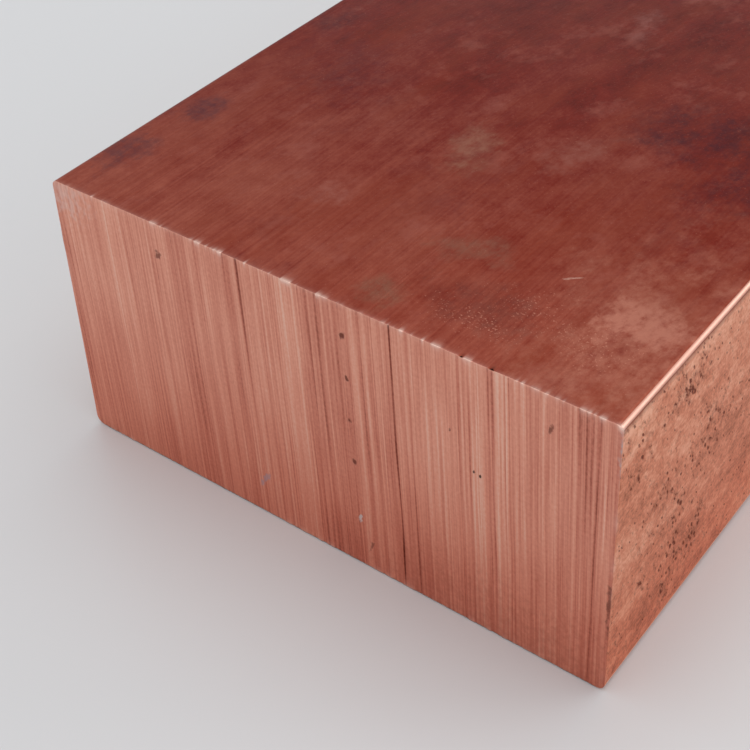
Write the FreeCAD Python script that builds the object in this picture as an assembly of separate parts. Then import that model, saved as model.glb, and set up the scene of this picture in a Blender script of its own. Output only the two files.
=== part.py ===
# A cut length of thick copper flat bar, all sizes in millimetres.
#
# Frame: +Z is up, +Y runs along the bar, +X goes across it. The origin is the middle of the
# underside. One end face is at minus half the length, the other at plus half.
#
# The bar was drawn to its section, so its four long edges are rounded. It was then sawn square
# to length, so the edges round both end faces are sharp.
import FreeCAD, Part
import math
import os

bar_length = 300.0  # between the two sawn ends
bar_width = 100.0  # the wide faces, along X
bar_thickness = 50.0  # the narrow faces, along Z

top_edge_radius = 1.2  # both long edges of the upper face
bottom_edge_radius = 1.6  # both long edges of the underside, a little rounder


def rounded_corner(corner_x, corner_z, radius):
    """The quarter circle inside one corner of the section, and its two ends.

    It touches the vertical side radius below or above the corner, and the level side radius
    inboard of it. Its middle lies on the diagonal towards the corner.
    """
    inward_x = -math.copysign(1, corner_x)
    inward_z = 1 if corner_z == 0 else -1
    centre_x = corner_x + inward_x * radius
    centre_z = corner_z + inward_z * radius
    diagonal = radius * math.sqrt(0.5)
    on_side = FreeCAD.Vector(corner_x, 0, centre_z)
    middle = FreeCAD.Vector(centre_x - inward_x * diagonal, 0, centre_z - inward_z * diagonal)
    on_level = FreeCAD.Vector(centre_x, 0, corner_z)
    return Part.Arc(on_side, middle, on_level).toShape(), on_side, on_level


def bar_section():
    """The outline across the bar, in the plane Y = 0: four straight sides, four rounded corners."""
    half = bar_width / 2
    top_left, top_left_side, top_left_level = rounded_corner(-half, bar_thickness, top_edge_radius)
    top_right, top_right_side, top_right_level = rounded_corner(half, bar_thickness, top_edge_radius)
    low_left, low_left_side, low_left_level = rounded_corner(-half, 0, bottom_edge_radius)
    low_right, low_right_side, low_right_level = rounded_corner(half, 0, bottom_edge_radius)
    sides = [
        Part.LineSegment(top_left_level, top_right_level).toShape(),
        Part.LineSegment(top_right_side, low_right_side).toShape(),
        Part.LineSegment(low_right_level, low_left_level).toShape(),
        Part.LineSegment(low_left_side, top_left_side).toShape(),
    ]
    corners = [top_left, top_right, low_left, low_right]
    return Part.Wire(Part.sortEdges(sides + corners)[0])


def copper_bar():
    """The section carried straight along Y from one sawn end to the other."""
    face = Part.Face(bar_section())
    face.translate(FreeCAD.Vector(0, -bar_length / 2, 0))
    return face.extrude(FreeCAD.Vector(0, bar_length, 0))


os.makedirs("parts", exist_ok=True)
copper_bar().exportStep("parts/copper_bar.step")
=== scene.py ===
import bpy
import math
import numpy as np
from mathutils import Matrix, Vector


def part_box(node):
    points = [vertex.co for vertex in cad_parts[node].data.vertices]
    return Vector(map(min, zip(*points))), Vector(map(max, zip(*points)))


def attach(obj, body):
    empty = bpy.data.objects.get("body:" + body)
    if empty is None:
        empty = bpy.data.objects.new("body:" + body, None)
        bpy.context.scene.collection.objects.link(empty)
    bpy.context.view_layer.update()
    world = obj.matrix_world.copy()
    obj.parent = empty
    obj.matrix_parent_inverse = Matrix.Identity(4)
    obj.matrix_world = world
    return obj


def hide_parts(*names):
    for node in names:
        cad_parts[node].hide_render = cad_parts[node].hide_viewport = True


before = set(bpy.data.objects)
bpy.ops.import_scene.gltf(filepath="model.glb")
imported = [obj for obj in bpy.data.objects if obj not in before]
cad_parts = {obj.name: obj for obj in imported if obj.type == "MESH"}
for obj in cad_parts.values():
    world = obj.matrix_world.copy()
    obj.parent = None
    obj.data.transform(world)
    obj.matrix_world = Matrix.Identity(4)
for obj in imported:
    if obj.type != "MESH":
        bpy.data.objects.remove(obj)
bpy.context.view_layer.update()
low, high = (np.array(corner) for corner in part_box("copper_bar"))
width, length, height = high - low
mm = 0.001
print("frame loaded, the bar is", [round(side / mm, 1) for side in (width, length, height)], "mm")

barShape = {
    "topRadius": 1.2 * mm,  # both long edges of the upper face
    "bottomRadius": 1.6 * mm,  # both long edges of the underside
    "sawnInset": 0.20 * mm,  # mean depth of the sawn faces under the true end, room for the burr
    "faceInset": 0.18 * mm,  # the same for the drawn faces
    "faceWave": 0.05,  # mm, how far a drawn face is from flat
    "drawLine": 0.004,  # mm, depth of its lengthwise lines
    "columns": 620,  # across the width, so that one saw mark spans several
    "cornerSteps": 8,  # round each corner radius
    "edgeRows": (0.14, 0.4, 1.0, 2.3),  # mm from the upper and the lower face, close for the burr
    "middleRows": 16,  # even steps of height between them
    "hug": 0.14 * mm,  # how close the first ring follows the sawn edge
    "edgeStations": (0.65, 0.95, 1.4, 2.3, 3.6, 5.5, 8.5),  # mm from a sawn end
    "middleStations": 27,  # even steps of length between them
}

sawMarks = {
    "lean": math.radians(1.7),  # the blade's path leans this much off upright
    "wander": 0.12 * mm,  # how far a mark strays from straight
    "swells": [(3.4, 0.007), (1.2, 0.007)],  # mm apart, mm deep
    "lines": [(0.55, 0.034), (0.80, -0.030), (0.32, 0.022)],  # the same; below zero they stand up
    "bands": [  # mm across, strength of the marks, how light
        (0, 0.45, 0.04), (10, 0.5, 0.06), (22, 0.6, 0.0), (33, 0.75, 0.03), (40, 0.95, 0.10),
        (48, 0.8, 0.05), (50, 0.6, -0.10), (57, 0.6, -0.10), (58.5, 1.0, 0.14), (64, 1.0, 0.10),
        (65.5, 0.4, 0.0), (71, 0.6, 0.0), (73, 1.8, 0.06), (82, 1.9, 0.05), (88, 1.4, 0.0),
        (93, 1.0, -0.03), (100, 0.9, -0.05),
    ],
    # mm across, mm deep, and the share of the height from the top that the line runs down
    "nearScores": [
        (38.0, 0.06, 0.35), (49.2, 0.05, 1.0), (64.9, 0.11, 1.0), (67.7, 0.035, 1.0),
        (81.3, 0.08, 1.0), (96.8, 0.05, 1.0),
    ],
    "farScores": [(12.5, 0.06, 0.8), (31.0, 0.11, 1.0), (52.6, 0.05, 0.6), (74.0, 0.08, 1.0)],
    "scoreWidth": 0.15,  # mm, half the width of one of those deep lines
    "scoreFade": 8.0,  # mm over which such a line ends
    "darkDepth": 0.11,  # mm deeper makes a mark as dark as it gets
}

burr = {
    "pitch": 0.9,  # mm between crumbs of torn metal
    "stretch": 6.0,  # mm, rough and clean stretches
    "reach": 0.36,  # mm that it spreads over the faces
    "crowd": [  # mm from the left, and how thick the burr is there on the upper edges
        (0, 0.5), (7, 1.0), (14, 0.6), (20, 1.3), (60, 1.3), (70, 0.8), (85, 0.9), (100, 0.7),
    ],
    "shares": (1.0, 0.35, 0.5, 0.5),  # how strong it is at the top, the underside and the two sides
    "notches": [(76.0, 0.28), (80.6, 0.34)],  # mm from the left and half width, in the near upper edge
    "notchDepth": 0.12 * mm,
    "torn": "#FFD6C6",  # bright metal of a crumb, also the painted highlight along the upper arris
    "hollow": "#2A1410",  # the shade in a notch
    "bead": (0.35, 0.6),  # mm from both faces at the near upper right corner, and mm across
}

levelCount = 2048  # random levels held by a noise before it repeats
patchCount = 256  # the same along each side of a patch noise


def softNoise(where, pitch, seed):
    # random levels one pitch apart, joined by the smooth step 3t^2 - 2t^3; from -1 to 1
    levels = np.random.default_rng(seed).uniform(-1, 1, levelCount)
    cell = np.floor(where / pitch).astype(int)
    step = where / pitch - cell
    step = step * step * (3 - 2 * step)
    return levels[cell % levelCount] * (1 - step) + levels[(cell + 1) % levelCount] * step


def patchNoise(first, second, pitchFirst, pitchSecond, seed):
    # the same in two directions: four random levels round each point, weighted by the smooth step
    levels = np.random.default_rng(seed).uniform(-1, 1, (patchCount, patchCount))
    a, b = first / pitchFirst, second / pitchSecond
    i, j = np.floor(a).astype(int), np.floor(b).astype(int)
    s, t = a - i, b - j
    s, t = s * s * (3 - 2 * s), t * t * (3 - 2 * t)
    i, j, right, up = i % patchCount, j % patchCount, (i + 1) % patchCount, (j + 1) % patchCount
    near = levels[i, j] * (1 - s) + levels[right, j] * s
    far = levels[i, up] * (1 - s) + levels[right, up] * s
    return near * (1 - t) + far * t


def sawRelief(across, down, scores, seed):
    # depth of the blade's marks in mm, at mm across and mm down: smooth noises for the swells, and
    # (1 - |noise|)^4 for the lines, each fading in and out as it runs, plus a narrow bell-shaped
    # line at each deep score; and how light the metal looks there
    places, strengths, lights = np.array(sawMarks["bands"]).T
    strength = np.interp(across, places, strengths)
    depth = np.zeros_like(across)
    for level, (pitch, deep) in enumerate(sawMarks["swells"]):
        depth += deep * strength * softNoise(across, pitch, seed + level)
    for level, (pitch, deep) in enumerate(sawMarks["lines"]):
        fade = 0.62 + 0.38 * patchNoise(across, down, pitch, 15, seed + 40 + level)
        thin = (1 - np.abs(softNoise(across, pitch, seed + 10 + level))) ** 4
        depth += deep * strength * fade * (thin - 0.2)
    for place, deep, share in scores:
        fade = np.clip(0.85 + 0.3 * softNoise(down + place, 11, seed + 60), 0, 1)
        fade *= np.clip((share * height / mm - down) / sawMarks["scoreFade"] + 0.5, 0, 1)
        depth += deep * fade * np.exp(-(((across - place) / sawMarks["scoreWidth"]) ** 2))
    light = 0.5 + np.interp(across, places, lights) - depth / sawMarks["darkDepth"]
    return depth, light


def columnPlaces():
    # even steps over the flat middle, and equal angles round both corner radii
    angles = np.linspace(0, math.pi / 2, barShape["cornerSteps"] + 1)[1:]
    corner = [
        width / 2 - radius + (radius - barShape["faceInset"]) * np.sin(angles)
        for radius in (barShape["bottomRadius"], barShape["topRadius"])]
    corner = np.unique(np.round(np.concatenate(corner), 6))
    flat = width / 2 - barShape["bottomRadius"]
    middle = np.linspace(-flat, flat, barShape["columns"] + 1)
    return np.concatenate([-corner[::-1], middle, corner])


def sectionEdges(x):
    # the underside's and the top's height at x, a little inside the true section: flat, then a
    # quarter circle about each corner's centre, at radius - sqrt(radius^2 - into^2) from the face
    def drop(radius):
        shown = radius - barShape["faceInset"]
        into = np.clip(np.abs(x) - (width / 2 - radius), 0, shown)
        return radius - np.sqrt(shown ** 2 - into ** 2)
    return low[2] + drop(barShape["bottomRadius"]), high[2] - drop(barShape["topRadius"])


def evenSteps(edges, total, count):
    # places from 0 to total: the given ones at both ends, and count even steps between them
    edges = np.array(edges) * mm
    middle = np.linspace(edges[-1], total - edges[-1], count + 1)[1:-1]
    return np.concatenate([edges, middle, total - edges[::-1]])


def smoothStep(share):
    share = np.clip(share, 0, 1)
    return share * share * (3 - 2 * share)


def burrHeight(where, seed):
    # crumbs of two sizes, the hollows between them cut short, within rough stretches
    crumbs = 1.1 * softNoise(where / mm, burr["pitch"], seed)
    crumbs += 0.9 * softNoise(where / mm, 0.45 * burr["pitch"], seed + 20)
    rough = np.clip(0.65 + softNoise(where / mm, burr["stretch"], seed + 9), 0.1, 1)
    return np.clip(1.5 * crumbs - 0.25, -0.3, 1) * rough


def burrField(x, z, bottom, top, seed):
    # over a sawn face: the sum of the burr of its four edges, each fading as e^(-distance / reach)
    edges = [(top - z, x), (z - bottom, x), (high[0] - x, z), (x - low[0], z)]
    fields = [
        share * burrHeight(along, seed + k) * np.exp(-away / mm / burr["reach"])
        for k, (share, (away, along)) in enumerate(zip(burr["shares"], edges))]
    # the upper edges are rougher in places
    fields[0] = fields[0] * np.interp((x - low[0]) / mm, *np.array(burr["crowd"]).T)
    return np.clip(sum(fields), -0.3, 1)


def buildBar():
    # a grid of columns and rows on each sawn end, joined by rings along the bar's length
    columns = columnPlaces()
    bottom, top = sectionEdges(columns)
    rows = evenSteps(barShape["edgeRows"], height, barShape["middleRows"])
    rows = np.concatenate([[0], rows, [height]]) / height
    n, m = len(columns), len(rows)
    upright = np.repeat(columns[:, None], m, 1)
    bottom, top = bottom[:, None], top[:, None]
    z = bottom + (top - bottom) * rows[None, :]
    # the columns lean and stray with the saw marks, apart from those near the corners
    inner = smoothStep((width / 2 - barShape["bottomRadius"] - np.abs(upright)) / (6 * mm))
    middle = (low[2] + high[2]) / 2
    stray = sawMarks["wander"] * softNoise(z / mm, 14, 8)
    x = upright + inner * (stray - (z - middle) * math.tan(sawMarks["lean"]))
    index = np.arange(n * m).reshape(n, m)
    # the rim: along the underside, up the right side, back over the top, down the left side
    ring = np.concatenate([index[:, 0], index[-1, 1:], index[-2::-1, -1], index[0, -2:0:-1]])
    ringX, ringZ = x.ravel()[ring], z.ravel()[ring]
    # outward direction of the section at each point of the rim
    above = ringZ > middle
    radius = np.where(above, barShape["topRadius"], barShape["bottomRadius"])
    into = (np.abs(ringX) - width / 2 + radius) / (radius - barShape["faceInset"])
    outX = np.sign(ringX) * np.clip(np.round(into, 4), 0, 1)
    outZ = np.sign(ringZ - middle) * np.sqrt(1 - outX ** 2)
    girth = np.cumsum(np.hypot(ringX - np.roll(ringX, 1), ringZ - np.roll(ringZ, 1)))
    upper = outZ > 0.9

    # the two sawn ends, with the burr where they meet the drawn faces
    caps, lights, burrAndHighlights, crumbs = [], [], [], []
    for side, scores, seed in ((-1, sawMarks["nearScores"], 11), (1, sawMarks["farScores"], 77)):
        depth, light = sawRelief((upright - low[0]) / mm, (high[2] - z) / mm, scores, seed)
        spread = burrField(x, z, bottom, top, seed + 100)
        if side < 0:
            inset, size = burr["bead"]
            away = np.hypot((high[0] - x) / mm - inset, (high[2] - z) / mm - inset)
            spread = np.maximum(spread, np.exp(-((away / size) ** 2)))
        inward = (barShape["sawnInset"] + depth * mm) * (1 - 0.8 * spread)
        stands = spread.ravel()[ring]
        notch = np.zeros(len(ring))
        if side < 0:
            for place, half in burr["notches"]:
                notch += upper * np.exp(-((((ringX - low[0]) / mm - place) / half) ** 2))
        inward.ravel()[ring] += burr["notchDepth"] * notch
        face = side * (length / 2 - np.clip(inward, 0.01 * mm, None))
        cap = np.stack([x, face, z], -1).reshape(-1, 3)
        proud = 0.8 * barShape["faceInset"] * stands - burr["notchDepth"] * notch
        cap[ring, 0] += outX * proud
        cap[ring, 2] += outZ * proud
        # painted highlight: a light line along the upper arris of each end, added to the burr
        rim = (spread + 0.16 * np.exp(-(top - z) / mm / burr["reach"])).ravel()
        rim[ring] -= 1.8 * notch
        caps.append(cap)
        lights.append(light.ravel())
        burrAndHighlights.append(rim)
        # the walls take up the burr and the notches, plus a painted highlight along the upper edges
        crumbs.append(stands + 0.1 * upper - notch)

    # the drawn faces: rings that follow the section, a little wavy, with fine lengthwise lines
    start, end = caps[0][ring, 1], caps[1][ring, 1]
    places = evenSteps(barShape["edgeStations"], length, barShape["middleStations"]) - length / 2
    lines = softNoise(girth / mm, 0.9, 31) + 0.6 * softNoise(girth / mm, 0.4, 32)
    crest = 2 * np.abs(outX * outZ)  # 1 at the middle of a rounded edge, 0 on the flat faces
    walls = []
    even = [np.full(len(ring), place) for place in places]
    for y in (start + barShape["hug"], *even, end - barShape["hug"]):
        wave = patchNoise(girth / mm, y / mm, 23, 34, 5)
        sink = (barShape["faceWave"] * wave + barShape["drawLine"] * lines) * mm
        walls.append(np.stack([ringX - outX * sink, y, ringZ - outZ * sink], -1))
        lights.insert(-1, crest)
        near = crumbs[0] * np.exp((start - y) / mm / burr["reach"])
        far = crumbs[1] * np.exp((y - end) / mm / burr["reach"])
        burrAndHighlights.insert(-1, near + far)

    points = np.concatenate([caps[0], *walls, caps[1]])
    quad = np.stack([index[:-1, :-1], index[1:, :-1], index[1:, 1:], index[:-1, 1:]], -1)
    quad = quad.reshape(-1, 4)
    around = np.arange(len(ring))
    backStart = n * m + len(walls) * len(ring)
    rings = [ring, *(n * m + k * len(ring) + around for k in range(len(walls))), ring + backStart]
    bands = [
        np.stack([b, np.roll(b, -1), np.roll(a, -1), a], -1) for a, b in zip(rings[:-1], rings[1:])]
    faces = np.concatenate([quad, *bands, quad[:, ::-1] + backStart])
    # which finish each face has: 0 sawn, 1 wide face, 2 narrow side, 3 rounded edge
    steep = np.abs(outX + np.roll(outX, -1)) / 2
    narrow = steep > np.where(above, 0.965, 0.995)
    kind = np.where(narrow, 2, np.where(steep < np.where(above, 0.33, 0.02), 1, 3))
    # painted shade: the upper left edge, which the light misses, is as dark as the face beside it
    kind = np.where((kind == 3) & (ringX < 0) & above, 1, kind)
    sawnKind = np.zeros(len(quad), int)
    kinds = np.concatenate([sawnKind, np.tile(kind, len(bands)), sawnKind])

    mesh = bpy.data.meshes.new("copperBarSurface")
    mesh.from_pydata(points.tolist(), [], faces.tolist())
    mesh.polygons.foreach_set("material_index", kinds.astype(np.int32))
    mesh.polygons.foreach_set("use_smooth", np.ones(len(faces), bool))
    for name, values in (("lineTone", lights), ("burrAndHighlightTone", burrAndHighlights)):
        attribute = mesh.attributes.new(name, "FLOAT", "POINT")
        attribute.data.foreach_set("value", np.concatenate(values).astype(np.float32))
    mesh.update()
    piece = bpy.data.objects.new("sawn_copper_bar", mesh)
    bpy.context.scene.collection.objects.link(piece)
    print("bar mesh:", len(points), "points,", 2 * len(faces), "triangles")
    return piece


bar = buildBar()


def linear(code, alpha=1.0):
    # an sRGB hex colour turned to linear light
    values = [int(code[i:i + 2], 16) / 255 for i in (1, 3, 5)]
    return [v / 12.92 if v <= 0.04045 else ((v + 0.055) / 1.055) ** 2.4 for v in values] + [alpha]


def addNode(tree, kind, settings=None, inputs=None, out=0, stops=None):
    # adds one node with its settings, feeds its inputs with values or other nodes' outputs,
    # sets a ramp's stops, and gives back the output asked for
    made = tree.nodes.new("ShaderNode" + kind)
    for name, value in (settings or {}).items():
        setattr(made, name, value)
    for name, value in (inputs or {}).items():
        if isinstance(value, bpy.types.NodeSocket):
            tree.links.new(value, made.inputs[name])
        else:
            made.inputs[name].default_value = value
    for step, (place, code) in enumerate(stops or []):
        ramp = made.color_ramp.elements
        element = ramp[step] if step < 2 else ramp.new(place)
        element.position = place
        element.color = linear(code)
    return made.outputs[out] if made.outputs else made


def newMaterial(name):
    # an empty node material, its tree, and the position on the piece
    made = bpy.data.materials.new(name)
    made.use_nodes = True
    made.node_tree.nodes.clear()
    return made, made.node_tree, addNode(made.node_tree, "TexCoord", out="Object")


def grain(tree, place, size, seed, turn=(0, 0, 0), detail=2.0, keep=(0.3, 0.7), crisp=0.5):
    # noise whose lumps are size mm along each turned axis; the keep part of its range fills 0 to 1,
    # and crisp is how much of it the finer lumps carry
    spot = addNode(tree, "Mapping", {"vector_type": "TEXTURE"}, {
        "Vector": place, "Location": (seed * 0.37, seed * 0.73, seed * 0.19),
        "Rotation": [math.radians(angle) for angle in turn], "Scale": [side * mm for side in size]})
    noise = addNode(tree, "TexNoise", inputs={
        "Vector": spot, "Scale": 1.0, "Detail": detail, "Roughness": crisp})
    return addNode(tree, "MapRange", inputs={"Value": noise, "From Min": keep[0], "From Max": keep[1]})


def weighed(tree, parts):
    # the sum of each part times its weight
    total = 0.0
    for part, weight in parts:
        total = addNode(tree, "Math", {"operation": "MULTIPLY_ADD"}, {0: part, 1: weight, 2: total})
    return total


def blend(tree, share, first, second, way="MIX"):
    # first where share is 0 and second where it is 1, or first times second by the multiply way
    return addNode(tree, "Mix", {"data_type": "RGBA", "blend_type": way}, {
        0: share, 6: first, 7: linear(second) if isinstance(second, str) else second}, out=2)


def blotch(tree, place, centre, reach, ragged, turn=(0, 0, 0), soft=1.0):
    # 1 in the middle of a patch and 0 outside it: the distance from centre in reaches (mm), made
    # uneven by the ragged noise, falls off over soft
    spot = addNode(tree, "Mapping", {"vector_type": "TEXTURE"}, {
        "Vector": place, "Location": centre, "Rotation": [math.radians(angle) for angle in turn],
        "Scale": [side * mm for side in reach]})
    far = addNode(tree, "VectorMath", {"operation": "LENGTH"}, {0: spot}, out="Value")
    uneven = addNode(tree, "Math", {"operation": "MULTIPLY_ADD"}, {0: ragged, 1: -1.5, 2: far})
    return addNode(tree, "MapRange", {"interpolation_type": "SMOOTHSTEP"}, {
        "Value": uneven, "From Min": -0.1 + soft / 2, "From Max": -0.1 - soft / 2})


def stains(tree, place, colour, ragged, patches, flat, broken=1.0):
    # lays each patch over the colour: mm from the left, from the near sawn end and from the top,
    # reaches in mm, turn in the face's plane, colour, strength and softness; flat is the axis
    # across, and broken is a noise that lets the face show through
    for x, y, z, reachA, reachB, angle, code, strength, soft in patches:
        centre = (low[0] + x * mm, low[1] + y * mm, high[2] - z * mm)
        reach = {"X": (4, reachA, reachB), "Y": (reachA, 4, reachB), "Z": (reachA, reachB, 4)}[flat]
        turn = {"X": (angle, 0, 0), "Y": (0, angle, 0), "Z": (0, 0, angle)}[flat]
        mask = blotch(tree, place, centre, reach, ragged, turn, soft)
        mask = addNode(tree, "Math", {"operation": "MULTIPLY"}, {0: mask, 1: strength})
        mask = addNode(tree, "Math", {"operation": "MULTIPLY"}, {0: mask, 1: broken})
        colour = blend(tree, mask, colour, code)
    return colour


def finishSurface(tree, colour, roughness, height, distance, bare=1.0):
    # bare metal: the colour is the metal's own reflection, and the burr is torn bright metal, with a
    # painted highlight along the upper arris;
    # the relief, distance metres high, comes from the height; oxide lies where bare is below 1
    torn = addNode(tree, "Attribute", {"attribute_name": "burrAndHighlightTone"}, out="Fac")
    bright = addNode(tree, "MapRange", inputs={"Value": torn, "From Max": 0.8})
    dark = addNode(tree, "MapRange", inputs={"Value": torn, "From Max": -0.8})
    colour = blend(tree, bright, colour, burr["torn"])
    colour = blend(tree, dark, colour, burr["hollow"])
    bump = addNode(tree, "Bump", inputs={"Height": height, "Distance": distance, "Strength": 1.0})
    shader = addNode(tree, "BsdfPrincipled", inputs={
        "Base Color": colour, "Metallic": bare, "Roughness": roughness, "Normal": bump})
    addNode(tree, "OutputMaterial", inputs={"Surface": shader})


sawn = {
    "groove": "#78301F",  # shaded bottoms of the deepest marks
    "dull": "#D68873",  # the matt pink between them
    "fresh": "#F0AA92",  # lately cut metal
    "ridge": "#FFDDC8",  # burnished tops
    "lowShadeTint": "#F0D8D0",  # painted shade: what the lowest part is multiplied by, darker and redder towards the bottom
    "spots": [  # x, y, z, reach across, reach down, turn, colour, strength, softness
        (56.2, 0, 5.6, 0.45, 0.6, 0, "#6A2E22", 0.85, 0.9),
        (56.5, 0, 13.3, 0.4, 0.6, 0, "#6A2E22", 0.8, 0.9),
        (56.7, 0, 21, 0.4, 0.55, 0, "#6A2E22", 0.8, 0.9),
        (57.0, 0, 28.9, 0.4, 0.6, 0, "#6A2E22", 0.8, 0.9),
        (21.5, 0, 6, 0.7, 0.7, 0, "#6A3228", 0.7, 0.8),
        (78, 0, 19.5, 0.3, 0.4, 0, "#2E120E", 0.9, 0.5),
        (79, 0, 19.7, 0.3, 0.4, 0, "#2E120E", 0.9, 0.5),
        (74, 0, 14, 0.35, 0.5, 0, "#4A1D16", 0.7, 0.6),
        (89.5, 0, 6, 0.4, 1.2, 8, "#6A3228", 0.7, 0.8),
        (57.6, 0, 40, 0.4, 1.1, 12, "#D8CFCC", 0.8, 0.6),
        (38.5, 0, 42.5, 0.7, 1.5, 35, "#B89AA0", 0.7, 0.8),
        (59.5, 0, 45, 0.3, 1.6, 25, "#6A3228", 0.6, 0.8),
        (2, 0, 2, 4.5, 4, 0, "#EFD8D0", 0.4, 1.6),
        (100.2, 0, 6, 0.6, 5.0, 0, "#C6C6C8", 0.75, 1.7),  # the grey-blue corner
        (99.6, 0, 31, 0.5, 4, 0, "#4A2018", 0.6, 1.0),
        (99.6, 0, 38, 0.4, 3, 0, "#4A2018", 0.6, 1.0),
        # painted shade: the darker, browner lower right of the near end
        (86, 0, 50, 20, 9, 0, "#B0604C", 0.4, 2.2),
        (37, 300, 12, 0.6, 0.7, 0, "#6A2E22", 0.8, 0.9),  # the rest are on the far end
        (62, 300, 31, 0.4, 0.6, 0, "#6A2E22", 0.8, 0.9),
        (63.5, 300, 33, 0.3, 0.5, 0, "#2E120E", 0.8, 0.6),
        (20, 300, 40, 0.9, 1.5, -30, "#A0848A", 0.7, 0.8),
    ],
}


def sawnCopper():
    # copper cut by a band saw: matt pink with upright marks of uneven pitch, hardly tarnished
    made, tree, place = newMaterial("sawnCopper")
    marks = addNode(tree, "Attribute", {"attribute_name": "lineTone"}, out="Fac")
    turn = (0, -math.degrees(sawMarks["lean"]), 0)
    lines = grain(tree, place, (0.9, 30, 90), 2, turn, 2.0)
    fine = grain(tree, place, (0.4, 30, 60), 3, turn, 2.0)
    hairs = grain(tree, place, (0.2, 30, 14), 4, turn, 1.0)  # real ones are finer still
    torn = grain(tree, place, (0.45, 0.45, 0.6), 5, detail=3.0)
    clouds = grain(tree, place, (14, 14, 22), 6, detail=3.0)
    tone = weighed(tree, [
        (marks, 0.44), (lines, 0.13), (fine, 0.14), (hairs, 0.10), (torn, 0.08), (clouds, 0.11)])
    colour = addNode(tree, "ValToRGB", inputs={0: tone}, stops=[
        (0.18, sawn["groove"]), (0.38, sawn["dull"]), (0.58, sawn["fresh"]), (0.88, sawn["ridge"])])
    up = addNode(tree, "SeparateXYZ", inputs={0: place}, out="Z")
    # painted shade: the sawn end darker and redder towards the bottom
    lowShade = addNode(tree, "MapRange", {"interpolation_type": "SMOOTHSTEP"}, {
        "Value": up, "From Min": low[2] + 0.75 * height, "From Max": low[2]})
    colour = blend(tree, lowShade, colour, sawn["lowShadeTint"], "MULTIPLY")
    ragged = grain(tree, place, (0.8, 0.8, 1.2), 7, detail=3.0)
    colour = stains(tree, place, colour, ragged, sawn["spots"], "Y")
    rough = addNode(tree, "MapRange", inputs={
        "Value": tone, "From Min": 0.2, "From Max": 0.8, "To Min": 0.55, "To Max": 0.40})
    relief = weighed(tree, [(lines, 0.4), (fine, 0.5), (hairs, 0.3), (torn, 0.25)])
    finishSurface(tree, colour, rough, relief, 0.03 * mm)
    return made


tarnish = {
    "deep": "#540E06",  # cuprite, the red oxide, where it is thickest
    "brown": "#7A2114",  # the common film
    "rubbed": "#A65744",  # the lightest tone: thin tarnish, lifted by the painted sheen near the ends
    "violet": "#5E2730",  # where the film is thicker still
    "warm": "#88341E",  # orange-brown, where it is younger
    "thin": "#A25A4C",  # where the metal nearly shows through
    "sheenReach": 95 * mm,  # how far in from each end the top is painted lighter, a painted sheen over the deeper tarnish of the middle
    "speck": "#CE8A74",  # bright metal in small dents
    "films": [  # size in mm, seed, turn, part of the noise kept, strength, colour
        ((13, 17, 13), 28, 20, (0.55, 0.75), 0.35, "violet"),
        ((7, 24, 9), 29, -6, (0.45, 0.70), 0.6, "warm"),
        ((6, 9, 8), 33, -15, (0.54, 0.72), 0.5, "thin"),
    ],
    "patches": [  # x, y, z, reach across, reach along, turn, colour, strength, softness
        (80, 67, 0, 12, 9, 20, "#3F1824", 0.55, 1.6),
        (72, 65, 0, 7, 7, 0, "#3F1824", 0.4, 1.6),
        (87, 55, 0, 8, 9, 0, "#3F1824", 0.5, 1.6),
        (19, 50, 0, 10, 9, -20, "#491A26", 0.35, 1.6),
        (5, 29, 0, 4, 6, 0, "#4A2430", 0.6, 1.1),
        (3.5, 13, 0, 4, 7, 0, "#4E2E38", 0.6, 1.1),
        (5, 66, 0, 4, 7, 0, "#451820", 0.5, 1.1),
        (49, 43, 0, 5, 7, 15, "#9A6450", 0.7, 1.1),
        (63, 49, 0, 4, 8, -20, "#965548", 0.7, 1.0),
        (65, 21, 0, 7, 4, 10, "#8A6250", 0.42, 1.2),
        (59, 6, 0, 4, 4, 0, "#8A6854", 0.45, 1.1),
        (92, 18, 0, 9, 5, 12, "#CC8874", 0.9, 0.9),
        (93, 14, 0, 14, 22, 0, "#B26E5A", 0.75, 1.5),
        (52, 93, 0, 2.5, 6, 12, "#96584E", 0.7, 1.2),
        (38, 21, 0, 3.5, 5, -20, "#A25E50", 0.7, 1.0),
        (79, 22.5, 0, 0.3, 2.2, -50, "#C89988", 0.8, 0.6),  # a short pale scratch
        (73, 11, 0, 9, 5, 0, "#5A302D", 0.45, 1.5),
        (30, 90, 0, 14, 18, 0, "#57140F", 0.4, 1.6),
        (40, 150, 0, 30, 26, 30, "#4B1926", 0.4, 1.6),
        (70, 215, 0, 22, 30, -30, "#8B574D", 0.35, 1.6),
        (25, 262, 0, 16, 14, 0, "#3F1824", 0.4, 1.6),
    ],
    "dents": [  # x, y and the two reaches of a dented place, in mm
        (80, 13, 9, 6), (74, 8, 8, 4), (90, 12, 6, 6), (30, 240, 14, 10),
    ],
}


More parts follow.
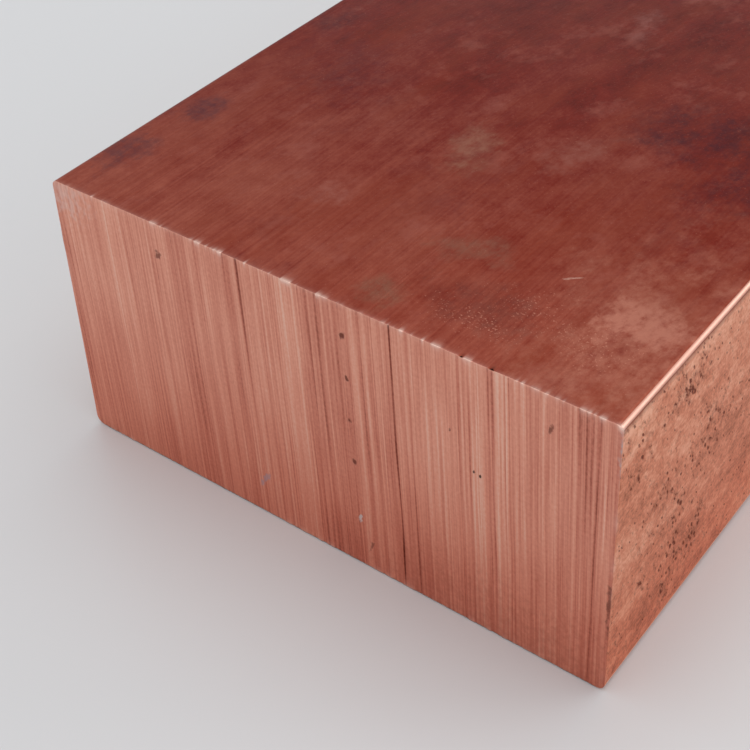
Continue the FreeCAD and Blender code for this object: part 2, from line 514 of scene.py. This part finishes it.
def tarnishedCopper():
    # drawn copper left to darken: satin, deep red-brown, with a painted sheen making it lighter
    # towards the ends, and straight draw lines, crossing scuffs, cloudy stains and bright dents
    made, tree, place = newMaterial("tarnishedCopper")
    clouds = grain(tree, place, (17, 26, 20), 11, (0, 0, -8), 7.0, crisp=0.6)
    mottle = grain(tree, place, (4, 5.5, 5), 19, detail=6.0, crisp=0.65)
    lines = grain(tree, place, (0.9, 90, 1), 13, detail=2.0)
    fine = grain(tree, place, (0.35, 30, 1), 14, detail=2.0)
    scuffs = grain(tree, place, (0.4, 9, 1), 15, (0, 0, -28), 2.0)
    crossed = grain(tree, place, (0.35, 6, 1), 16, (0, 0, 37), 2.0)
    pebble = grain(tree, place, (0.6, 0.6, 0.6), 17, detail=3.0)
    split = addNode(tree, "SeparateXYZ", inputs={0: place}, out="Y")
    inboard = addNode(tree, "Math", {"operation": "ABSOLUTE"}, {0: split})
    # painted sheen: the top lighter within sheenReach of each end
    endSheen = addNode(tree, "MapRange", {"interpolation_type": "SMOOTHSTEP"}, {
        "Value": inboard, "From Min": length / 2 - tarnish["sheenReach"],
        "From Max": length / 2 + 20 * mm})
    # the draw lines are clearest where the painted sheen lightens the top
    brushed = weighed(tree, [(lines, 0.4), (fine, 0.6)])
    brushed = addNode(tree, "Math", {"operation": "MULTIPLY"}, {0: brushed, 1: endSheen})
    tone = weighed(tree, [
        (endSheen, 0.36), (clouds, 0.24), (mottle, 0.24), (brushed, 0.20), (lines, 0.03), (fine, 0.04),
        (scuffs, 0.04), (crossed, 0.03), (pebble, 0.09)])
    colour = addNode(tree, "ValToRGB", inputs={0: tone}, stops=[
        (0.12, tarnish["deep"]), (0.45, tarnish["brown"]), (0.98, tarnish["rubbed"])])
    for size, seed, turn, keep, share, name in tarnish["films"]:
        film = grain(tree, place, size, seed, (0, 0, turn), 8.0, keep, 0.68)
        film = addNode(tree, "Math", {"operation": "MULTIPLY"}, {0: film, 1: share})
        colour = blend(tree, film, colour, tarnish[name])
    ragged = grain(tree, place, (5, 7, 5), 18, (0, 0, -20), 8.0, crisp=0.7)
    grit = grain(tree, place, (1.3, 1.8, 1.3), 35, detail=5.0, keep=(0.25, 0.6), crisp=0.7)
    colour = stains(tree, place, colour, ragged, tarnish["patches"], "Z", grit)
    bare = 0.0
    for x, y, reachX, reachY in tarnish["dents"]:
        centre = (low[0] + x * mm, low[1] + y * mm, high[2])
        spread = blotch(tree, place, centre, (reachX, reachY, 4), ragged, soft=1.6)
        bare = addNode(tree, "Math", {"operation": "MAXIMUM"}, {0: bare, 1: spread})
    specks = grain(tree, place, (0.34, 0.34, 0.34), 20, detail=1.5, keep=(0.30, 0.72))
    hit = weighed(tree, [(specks, 1.0), (bare, 0.26)])
    hit = addNode(tree, "MapRange", inputs={
        "Value": hit, "From Min": 0.93, "From Max": 1.18, "To Max": 0.6})
    colour = blend(tree, hit, colour, tarnish["speck"])
    rough = addNode(tree, "MapRange", inputs={"Value": clouds, "To Min": 0.48, "To Max": 0.36})
    relief = weighed(tree, [
        (lines, 0.3), (fine, 0.4), (scuffs, 0.3), (crossed, 0.2), (pebble, 0.3), (hit, -0.6)])
    finishSurface(tree, colour, rough, relief, 0.015 * mm)
    return made


pitted = {
    "pit": "#7A3824",  # oxide in the pits
    "stain": "#A85C38",  # the darkened skin round them
    "skin": "#E08C68",  # thin tarnish
    "bright": "#FFC09E",  # skin worn back to the metal
    "seamDepth": (1.0, 1.9),  # mm under the top, where the dull seam starts and ends
    "low": "#FFE6D4",  # what the lowest part is multiplied by, warmer where it lies in its own shade
    "lean": 30,  # degrees; the pits are narrow along this direction and long across it
    "pitSpacing": (1.0, 2.0),  # mm
    "sore": (0.8, 1.6),  # mm, lumps of the ragged marks where pits have run together
    "clusters": [  # x, y, z, reach along, reach down: where the pits crowd
        (100, 18, 6, 8, 6), (100, 27, 20, 6, 8), (100, 19, 35, 5, 11), (100, 25, 38, 4, 7),
        (100, 6, 10, 4, 5), (100, 9, 35, 3, 4), (100, 16, 44, 3, 3), (100, 120, 30, 16, 12),
        (100, 210, 15, 20, 8), (0, 70, 20, 14, 12), (0, 190, 34, 22, 9),
    ],
}


def pittedCopper():
    # the narrow drawn sides: thin tarnish, orange-pink, with lengthwise draw streaks and clusters
    # of small dark pits
    made, tree, place = newMaterial("pittedCopper")
    clouds = grain(tree, place, (20, 15, 10), 21, detail=6.0, crisp=0.6)
    streaks = grain(tree, place, (20, 45, 2.6), 22, detail=3.0)
    fine = grain(tree, place, (20, 14, 0.5), 23, detail=2.0)
    mottle = grain(tree, place, (2.4, 2.4, 2.4), 24, detail=6.0, crisp=0.65)
    pebble = grain(tree, place, (0.5, 0.5, 0.5), 34, detail=2.0)
    up = addNode(tree, "SeparateXYZ", inputs={0: place}, out="Z")
    rubbed = addNode(tree, "MapRange", {"interpolation_type": "SMOOTHSTEP"}, {
        "Value": up, "From Min": high[2] - 13 * mm, "From Max": high[2]})
    tone = weighed(tree, [
        (clouds, 0.32), (streaks, 0.14), (fine, 0.08), (mottle, 0.26), (pebble, 0.22), (rubbed, 0.16)])
    colour = addNode(tree, "ValToRGB", inputs={0: tone}, stops=[
        (0.2, pitted["stain"]), (0.5, pitted["skin"]), (0.85, pitted["bright"])])
    # painted shade: the lower half of the side darker and warmer
    lowShade = addNode(tree, "MapRange", {"interpolation_type": "SMOOTHSTEP"}, {
        "Value": up, "From Min": low[2] + 0.5 * height, "From Max": low[2]})
    colour = blend(tree, lowShade, colour, pitted["low"], "MULTIPLY")
    ragged = grain(tree, place, (4, 5, 5), 25, detail=6.0, crisp=0.65)
    crowd = grain(tree, place, (30, 14, 12), 26, detail=3.0, keep=(0.50, 0.85))
    for x, y, z, reachY, reachZ in pitted["clusters"]:
        centre = (low[0] + x * mm, low[1] + y * mm, high[2] - z * mm)
        spread = blotch(tree, place, centre, (10, reachY, reachZ), ragged, soft=1.2)
        crowd = addNode(tree, "Math", {"operation": "MAXIMUM"}, {0: crowd, 1: spread})
    # round pits are the cells of a random scatter cut near their middles; sores are ragged noise
    spot = addNode(tree, "Mapping", {"vector_type": "TEXTURE"}, {
        "Vector": place, "Rotation": (math.radians(pitted["lean"]), 0, 0),
        "Scale": [side * mm for side in (1.5, *pitted["pitSpacing"])]})
    cells = addNode(tree, "TexVoronoi", inputs={"Vector": spot, "Scale": 1.0}, out="Distance")
    near = weighed(tree, [(cells, -1.0), (crowd, 0.19), (pebble, 0.24)])
    dots = addNode(tree, "MapRange", {"interpolation_type": "SMOOTHSTEP"}, {
        "Value": near, "From Min": -0.07, "From Max": 0.13})
    leaning = (pitted["lean"], 0, 0)
    sores = grain(tree, place, (1.2, *pitted["sore"]), 27, leaning, 4.0, (0.30, 0.75), 0.6)
    sores = weighed(tree, [(sores, 1.0), (crowd, 0.34)])
    torn = addNode(tree, "MapRange", {"interpolation_type": "SMOOTHSTEP"}, {
        "Value": sores, "From Min": 0.90, "From Max": 1.14})
    hole = addNode(tree, "Math", {"operation": "MAXIMUM"}, {0: dots, 1: torn})
    ring = addNode(tree, "MapRange", inputs={
        "Value": sores, "From Min": 0.60, "From Max": 1.05, "To Max": 0.8})
    colour = blend(tree, ring, colour, pitted["stain"])
    colour = blend(tree, hole, colour, pitted["pit"])
    # a dull seam just under the rounded edge
    seamStart, seamEnd = pitted["seamDepth"]
    seam = addNode(tree, "MapRange", inputs={
        "Value": up, "From Min": high[2] - seamEnd * mm, "From Max": high[2] - seamStart * mm,
        "To Max": 0.55})
    colour = blend(tree, seam, colour, pitted["pit"])
    rough = addNode(tree, "MapRange", inputs={"Value": tone, "To Min": 0.50, "To Max": 0.36})
    rough = weighed(tree, [(rough, 1.0), (hole, 0.35)])
    bare = addNode(tree, "MapRange", inputs={"Value": hole, "To Min": 1.0, "To Max": 0.6})
    relief = weighed(tree, [(streaks, 0.2), (fine, 0.2), (mottle, 0.35), (pebble, 0.3), (hole, -0.7)])
    finishSurface(tree, colour, rough, relief, 0.05 * mm, bare)
    return made


burnishAndHighlight = {
    "beside": "#8E4A36",  # where the edge runs into the darker faces
    "worn": "#CC9482",  # half polished
    "metal": "#E0AC9A",  # bare metal on the crest, brightened as a painted highlight
    "lowerReflection": "#F0A080",  # painted reflection: the warm orange the lower edges show
    "bare": 0.5,  # how much of a lower edge is metal; the rest is matt, so that the painted orange reflection shows under any light
}


def burnishAndHighlightCopper():
    # the rounded long edges, bright along their crest, partly from handling and partly a painted
    # highlight;
    # the lower ones show a painted warm orange reflection
    made, tree, place = newMaterial("burnishAndHighlightCopper")
    crest = addNode(tree, "Attribute", {"attribute_name": "lineTone"}, out="Fac")
    along = grain(tree, place, (8, 7, 8), 31, detail=3.0)
    fine = grain(tree, place, (0.5, 14, 0.5), 32, detail=2.0)
    middle = addNode(tree, "MapRange", inputs={"Value": crest, "From Min": 0.62, "From Max": 1.0})
    tone = weighed(tree, [(middle, 0.70), (along, 0.22), (fine, 0.08)])
    colour = addNode(tree, "ValToRGB", inputs={0: tone}, stops=[
        (0.15, burnishAndHighlight["beside"]), (0.45, burnishAndHighlight["worn"]), (0.80, burnishAndHighlight["metal"])])
    up = addNode(tree, "SeparateXYZ", inputs={0: place}, out="Z")
    under = addNode(tree, "MapRange", inputs={
        "Value": up, "From Min": low[2] + height / 2, "From Max": low[2] + 4 * mm})
    # painted reflection: the lower edges warm orange and partly matt
    colour = blend(tree, under, colour, burnishAndHighlight["lowerReflection"])
    rough = addNode(tree, "MapRange", inputs={"Value": along, "To Min": 0.34, "To Max": 0.44})
    bare = addNode(tree, "MapRange", inputs={
        "Value": under, "To Min": 1.0, "To Max": burnishAndHighlight["bare"]})
    finishSurface(tree, colour, rough, fine, 0.01 * mm, bare)
    return made


for finish in (sawnCopper, tarnishedCopper, pittedCopper, burnishAndHighlightCopper):
    bar.data.materials.append(finish())
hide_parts("copper_bar")
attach(bar, "root")
print("finishes made")

studio = {
    "floorSize": 12.0,  # m
    "floorColour": "#CDCDCE",
    "floorRoughness": 0.35,
    "skyColour": "#E6E8EA",
    "skyStrength": 0.92,
    "softboxes": [  # name, place, aimed at, size, watts
        ("overheadSoftbox", (0.05, 0.05, 1.4), (0, 0, 0), (1.5, 1.5), 9),
        ("rightBackSoftbox", (0.95, 0.95, 0.6), (0.05, -0.1, 0.05), (0.8, 0.6), 3.2),
    ],
}


def areaLight(name, place, target, size, power):
    # a rectangular softbox of size metres at place, facing target, with power in watts
    data = bpy.data.lights.new(name, "AREA")
    data.shape = "RECTANGLE"
    data.size, data.size_y = size
    data.energy = power
    lamp = bpy.data.objects.new(name, data)
    away = Vector(place) - Vector(target)
    lamp.location = place
    lamp.rotation_euler = away.to_track_quat("Z", "Y").to_euler()
    bpy.context.scene.collection.objects.link(lamp)


def paleFloor():
    # one square sheet of pale laminate at the height of the bar's underside
    half = studio["floorSize"] / 2
    square = ((-half, -half), (half, -half), (half, half), (-half, half))
    corners = [(x, y, low[2]) for x, y in square]
    mesh = bpy.data.meshes.new("paleFloor")
    mesh.from_pydata(corners, [], [(0, 1, 2, 3)])
    made, tree, place = newMaterial("paleLaminate")
    shader = addNode(tree, "BsdfPrincipled", inputs={
        "Base Color": linear(studio["floorColour"]), "Roughness": studio["floorRoughness"]})
    addNode(tree, "OutputMaterial", inputs={"Surface": shader})
    mesh.materials.append(made)
    floor = bpy.data.objects.new("pale_floor", mesh)
    bpy.context.scene.collection.objects.link(floor)


def softSky():
    # an even pale background that lights everything a little
    world = bpy.data.worlds.new("studio")
    world.use_nodes = True
    background = world.node_tree.nodes["Background"]
    background.inputs["Color"].default_value = linear(studio["skyColour"])
    background.inputs["Strength"].default_value = studio["skyStrength"]
    bpy.context.scene.world = world


paleFloor()
softSky()
for softbox in studio["softboxes"]:
    areaLight(*softbox)
print("floor and lights placed")

cameraView = {
    "azimuth": 38.42,  # degrees, to the right of square on to the sawn end
    "elevation": 36.15,
    "roll": -2.77,
    "lens": 74.0,  # mm, on the usual 36 mm sensor
    "shiftY": -0.15,  # share of the picture's width
    "fromCorner": (62.7, -126.0, 127.1),  # mm from the near top corner of the sawn end
}
data = bpy.data.cameras.new("camera")
data.lens = cameraView["lens"]
data.shift_y = cameraView["shiftY"]
data.clip_start, data.clip_end = 0.01, 20
camera = bpy.data.objects.new("camera", data)
corner = np.array([high[0], low[1], high[2]])
camera.location = corner + np.array(cameraView["fromCorner"]) * mm
turn = Matrix.Rotation(math.radians(cameraView["azimuth"]), 4, "Z")
tilt = Matrix.Rotation(math.radians(90 - cameraView["elevation"]), 4, "X")
roll = Matrix.Rotation(math.radians(cameraView["roll"]), 4, "Z")
camera.rotation_euler = (turn @ tilt @ roll).to_euler()
bpy.context.scene.collection.objects.link(camera)
bpy.context.scene.camera = camera
bpy.context.scene.view_settings.view_transform = "Standard"
print("camera placed")
